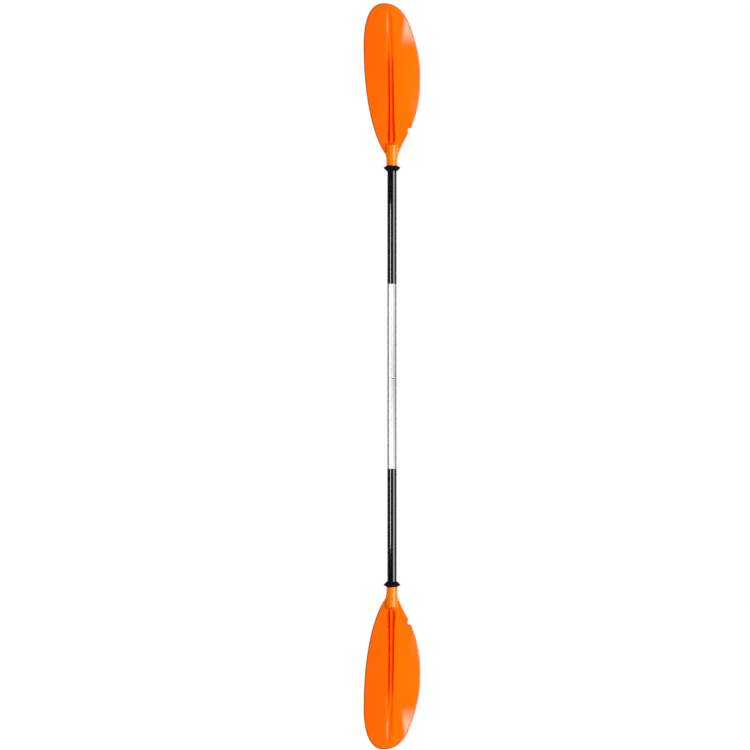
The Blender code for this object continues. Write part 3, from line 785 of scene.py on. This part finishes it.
# ------------------------------------------------------------------ snap clips
def spring_strip(name, matrix, way):
    """The hairpin: leg under the button, bend along the shaft, leg on the opposite wall."""
    reach, lean, leg = 0.0106, 0.0022, 0.030  # leg height off the axis, its slope and length
    heel, far_end = 0.0045, 0.002  # where the legs end, behind and ahead of the button
    bend_length, bend_height = 0.0085, 0.0084
    width, thick, chamfer = 0.0070, 0.0005, 0.00012
    path = [(-heel + t * (leg + heel), reach - lean * t) for t in np.linspace(0, 1, 16)]
    path += [(leg + bend_length * math.cos(a), bend_height * math.sin(a))
             for a in np.radians(np.linspace(78, -78, 25))]
    path += [(far_end + t * (leg - far_end), -reach + lean * t) for t in np.linspace(1, 0, 14)]
    path = np.array(path)
    tangent = np.gradient(path, axis=0)
    tangent /= np.linalg.norm(tangent, axis=1)[:, None]
    normal = np.stack([-tangent[:, 1], tangent[:, 0]], 1)
    w, t = width / 2, thick / 2
    wc, tc = w - chamfer, t - chamfer
    section = [(-w, tc), (-wc, t), (wc, t), (w, tc), (w, -tc), (wc, -t), (-wc, -t), (-w, -tc)]
    verts = []
    for place, lift in zip(path, normal):
        for x, height in section:
            y, z = place + lift * height
            verts.append((x, y * way, z))
    k = len(section)
    faces = []
    for i in range(len(path) - 1):
        for j in range(k):
            m = (j + 1) % k
            faces.append((i * k + j, i * k + m, (i + 1) * k + m, (i + 1) * k + j))
    faces.append(tuple(range(k))[::-1])
    faces.append(tuple(range((len(path) - 1) * k, len(path) * k)))
    obj = new_object(name, verts, faces, sharp_deg=40)
    bm = bmesh.new()
    bm.from_mesh(obj.data)
    bmesh.ops.recalc_face_normals(bm, faces=bm.faces)
    bm.to_mesh(obj.data)
    bm.free()
    shade(obj.data, 40)
    obj.data.transform(matrix)
    return obj


def button_head(name, matrix, skin):
    """A domed button that stands proud of the skin radius around it."""
    top, radius, foot, dome, edge = skin + 0.0024, 0.0039, 0.0092, 0.0021, 0.0004
    profile = [(radius * math.sin(a), top - dome * (1 - math.cos(a)))
               for a in np.radians(np.linspace(0, 84, 15))]
    profile += [(radius, top - 0.0026), (radius, foot + edge), (radius - edge, foot), (0, foot)]
    obj = lathe(name, profile, 56, closed=False, sharp_deg=45)
    obj.data.transform(matrix)
    return obj


# clip node, button z, azimuth, skin radius, way the spring runs along Z
CLIPS = (
    ("upper_snap_clip", BLADE_BUTTON_Z, BLADE_BUTTON_AZ, WRAP_R, -1),
    ("lower_snap_clip", -BLADE_BUTTON_Z, BLADE_BUTTON_AZ, WRAP_R, 1),
    ("centre_snap_clip", CENTRE_BUTTON_Z, CENTRE_BUTTON_AZ, TUBE_R, -1),
)
for node, z, azimuth, skin, way in CLIPS:
    matrix = radial_matrix(z, azimuth)
    dress(button_head(node.replace("_clip", "_button"), matrix, skin), node)
    strip = spring_strip(node.replace("_clip", "_spring"), matrix, way)
    strip.data.materials.append(MATERIALS["spring_steel"])
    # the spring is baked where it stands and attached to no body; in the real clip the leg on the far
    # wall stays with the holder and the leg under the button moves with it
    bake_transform(strip)

# ------------------------------------------------------------------ floor and world
AMBIENT = (0.25, 0.06)  # strength seen by diffuse and by glossy rays
SHAFT_TRAVEL, BLADE_TRAVEL = 0.044, 0.070  # the lower blade's way down when both are pulled out
FLOOR_Z = CAD_LO.z - (SHAFT_TRAVEL + BLADE_TRAVEL) - 0.0015
FLOOR_R = 9.0


def ambient_level(tree):
    """Whether a ray comes from the camera, and the ambient strength for its kind."""
    path = add_node(tree, "ShaderNodeLightPath")
    level = map_range(tree, path.outputs["Is Glossy Ray"], to=AMBIENT)
    return path.outputs["Is Camera Ray"], level


def floor_material():
    """White floor: grey-white near the paddle, glowing farther out, dim to all but the camera."""
    mat = bpy.data.materials.new("studio_floor")
    tree = fresh_tree(mat)
    diffuse = add_node(tree, "ShaderNodeBsdfDiffuse", {"Color": (0.90, 0.90, 0.90, 1)})
    glow = add_node(tree, "ShaderNodeEmission", {"Color": (1, 1, 1, 1), "Strength": 1.02})
    place = add_node(tree, "ShaderNodeNewGeometry").outputs["Position"]
    reach = add_node(tree, "ShaderNodeVectorMath", {0: place}, operation="LENGTH").outputs["Value"]
    fade = map_range(tree, reach, span=(1.2, 3.5), to=(0.86, 1.0))
    seen = add_node(tree, "ShaderNodeMixShader",
                    {0: fade, 1: diffuse.outputs[0], 2: glow.outputs[0]})
    is_camera, level = ambient_level(tree)
    dim = add_node(tree, "ShaderNodeEmission", {"Strength": level})
    pick = add_node(tree, "ShaderNodeMixShader",
                    {0: is_camera, 1: dim.outputs[0], 2: seen.outputs[0]})
    add_node(tree, "ShaderNodeOutputMaterial", {0: pick.outputs[0]})
    return mat


rings = [(0, FLOOR_Z)] + [(r, FLOOR_Z) for r in np.geomspace(0.05, FLOOR_R, 24)]
floor = lathe("studio_floor", rings, closed=False)
floor.visible_shadow = False
floor.data.materials.append(floor_material())

world = bpy.data.worlds.new("studio")
bpy.context.scene.world = world
tree = fresh_tree(world)
is_camera, level = ambient_level(tree)
strength = add_node(tree, "ShaderNodeMath", {0: is_camera, 1: level}, operation="MAXIMUM")
background = add_node(tree, "ShaderNodeBackground",
                      {"Color": (1, 1, 1, 1), "Strength": strength.outputs[0]})
add_node(tree, "ShaderNodeOutputWorld", {0: background.outputs[0]})


# ------------------------------------------------------------------ lights
def group(name, test):
    """Collect the meshes that a light is linked to."""
    made = bpy.data.collections.new(name)
    for obj in list(bpy.context.scene.objects):
        if obj.type == "MESH" and test(obj.name):
            made.objects.link(obj)
    return made


def is_metal(name):
    return name.startswith(METAL_NODES)


BLADES = group("blades_lit", lambda n: "blade_moulding" in n)
METALS = group("metals_lit",
               lambda n: ("_snap_" in n and n != "centre_snap_button") or is_metal(n))
BLACKS = group("blacks_lit",
               lambda n: not ("blade_moulding" in n or "_snap_" in n or is_metal(n)))
BUTTONS = group("buttons_lit", lambda n: "_snap_button" in n)
CENTRE_BUTTON = group("centre_button_lit", lambda n: n == "centre_snap_button")
BACK_SHEEN = group("back_sheen_lit", lambda n: not (is_metal(n) or "_snap_" in n))


def lamp(name, azimuth, z, distance, width, height, radiance, only=None, rays="all"):
    """An upright rectangular light at an azimuth in degrees, facing the shaft at height z.

    Rays "sheen" leaves out diffuse light and "fill" leaves out reflections.
    """
    data = bpy.data.lights.new(name, "AREA")
    data.shape = "RECTANGLE"
    data.size, data.size_y = width, height
    data.energy = radiance * math.pi * width * height
    obj = bpy.data.objects.new(name, data)
    bpy.context.scene.collection.objects.link(obj)
    angle = math.radians(azimuth)
    out = Vector((math.sin(angle), -math.cos(angle), 0))
    obj.location = out * distance + Vector((0, 0, z))
    obj.rotation_mode = "QUATERNION"
    obj.rotation_quaternion = (-out).to_track_quat("-Z", "Y")
    obj.visible_glossy = rays != "fill"
    obj.visible_diffuse = rays != "sheen"
    obj.visible_camera = False
    if only is not None:
        obj.light_linking.receiver_collection = only
    return obj


TIP_BOX_W, TIP_BOX_H = 0.60, 0.56
TIP_BOX_ROLL = math.radians(20)
TIP_BOX_SHIFT = (-0.06, 0.22)  # of the panel in its own plane, up being towards the tip


def soften(obj, side):
    """Roll, shift and fade a tip softbox: soft slanted inner side, falling-off top and bottom."""
    band_tilt, band_level, band_width = 0.167, 0.167 * 0.18 - 0.148, 0.090
    side_tilt, peak = 0.21, 11.0
    shift_x, shift_y = TIP_BOX_SHIFT
    tree = fresh_tree(obj.data)
    parametric = add_node(tree, "ShaderNodeNewGeometry").outputs["Parametric"]
    split = add_node(tree, "ShaderNodeSeparateXYZ", {0: parametric})

    def calc(operation, a, b=0.0, c=0.0):
        inputs = {0: a, 1: b, 2: c}
        return add_node(tree, "ShaderNodeMath", inputs, operation=operation).outputs[0]

    # metres across and along the panel, from its place before the shift
    height = side * TIP_BOX_H
    across = calc("MULTIPLY_ADD", split.outputs[0], TIP_BOX_W, -0.5 * TIP_BOX_W + shift_x)
    up = calc("MULTIPLY_ADD", split.outputs[1], height, -0.5 * height + shift_y)
    level = calc("ADD", calc("MULTIPLY_ADD", across, band_tilt, up), band_level)
    bell = calc("MULTIPLY", calc("MULTIPLY", level, level), -0.5 / band_width**2)
    bell = calc("EXPONENT", bell)
    slanted = calc("MULTIPLY_ADD", up, side_tilt, across)
    inner = map_range(tree, slanted, span=(-0.224, -0.152), interpolation_type="SMOOTHSTEP")
    tail = map_range(tree, level, span=(0.150, 0.212), to=(1.0, 0.0),
                     interpolation_type="SMOOTHSTEP")
    shape = calc("MULTIPLY", bell, calc("MULTIPLY", inner, tail))
    glow = add_node(tree, "ShaderNodeEmission", {"Strength": calc("MULTIPLY", shape, peak)})
    add_node(tree, "ShaderNodeOutputLight", {0: glow.outputs[0]})
    obj.rotation_quaternion = obj.rotation_quaternion @ Quaternion((0, 0, 1), side * TIP_BOX_ROLL)
    obj.location += obj.rotation_quaternion @ Vector((shift_x, side * shift_y, 0))


# Light tables: name, azimuth, z, distance, width, height, radiance, lit group, rays
# One set for each half; z is towards its own tip
HALF_LIGHTS = (
    # the large softbox on the right, in two panels with a gap at mid height
    ("softbox_right_blades_", 47, 1.05, 3.0, 2.02, 1.66, 8.8, BLADES),
    ("softbox_right_blacks_", 48.5, 1.05, 3.0, 1.85, 1.66, 9.4, BLACKS),
    ("softbox_tip_", 25.1, 0.775, 3.0, TIP_BOX_W, TIP_BOX_H, 1.0, BLADES, "sheen"),
    # brighter ends of the panels that light the bright metal
    ("metal_right_", 55, 0.70, 0.8, 0.69, 1.20, 0.62, METALS),
    ("metal_front_", 6, 0.70, 0.8, 0.60, 1.20, 1.20, METALS),
)
SHARED_LIGHTS = (
    ("metal_right", 68, 0, 0.8, 0.77, 2.6, 0.44, METALS),
    ("metal_front", 8, 0, 0.8, 0.56, 2.6, 0.40, METALS),
    ("metal_left", -53, 0, 0.8, 0.92, 2.6, 1.27, METALS),
    ("strip_left", -37.5, 0, 1.4, 0.317, 1.18, 22.0, BLACKS, "sheen"),
    ("side_fill", 78, 0, 4.0, 1.6, 3.6, 4.0, None, "fill"),
    ("side_fill_left", -88, 0, 4.0, 1.6, 3.6, 6.0, None, "fill"),
    ("button_overhead", 22, 1.2, 1.2, 1.2, 1.5, 3.0, BUTTONS),
    ("button_front", 15, 0.46, 0.8, 1.1, 1.36, 2.0, CENTRE_BUTTON),
    # behind: soft fill for shape, slim strips and one panel for sheen on the back
    ("back_fill_right", 138, 0, 4.0, 1.8, 3.6, 6.4, None, "fill"),
    ("back_fill_left", -165, 0, 4.0, 1.8, 3.6, 3.0, None, "fill"),
    ("back_strip_right", 130, 0, 3.0, 0.42, 3.4, 6.0, BACK_SHEEN, "sheen"),
    ("back_strip_left", -130, 0, 3.0, 0.30, 3.4, 5.0, BACK_SHEEN, "sheen"),
    ("metal_back", 180, 0, 0.8, 0.64, 2.6, 1.1, METALS),
    ("metal_back_strip", 150, 0, 0.8, 0.13, 2.6, 2.0, METALS),
)
for side, half in HALVES:
    for name, azimuth, z, *rest in HALF_LIGHTS:
        light = lamp(name + half, azimuth, side * z, *rest)
        if name == "softbox_tip_":
            soften(light, side)
lights = {row[0]: lamp(*row) for row in SHARED_LIGHTS}
overhead = lights["button_overhead"]  # tilted down to face mid length
overhead.rotation_quaternion = (-overhead.location).to_track_quat("-Z", "Y")

# ------------------------------------------------------------------ camera
CAMERA_DISTANCE = 12.0
VIEW_WIDTH = 2.3157782  # width in view at the shaft
camera = bpy.data.cameras.new("camera")
camera.sensor_width = 36.0
camera.lens = camera.sensor_width * CAMERA_DISTANCE / VIEW_WIDTH
camera.clip_end = 60
camera_obj = bpy.data.objects.new("camera", camera)
bpy.context.scene.collection.objects.link(camera_obj)
camera_obj.location = (-0.0524, -CAMERA_DISTANCE, 0.0040)
camera_obj.rotation_euler = (math.pi / 2, 0, 0)
bpy.context.scene.camera = camera_obj

view = bpy.context.scene.view_settings
view.view_transform = "Standard"
view.look = "None"
view.exposure = 0.0
view.gamma = 1.0

bpy.context.view_layer.update()
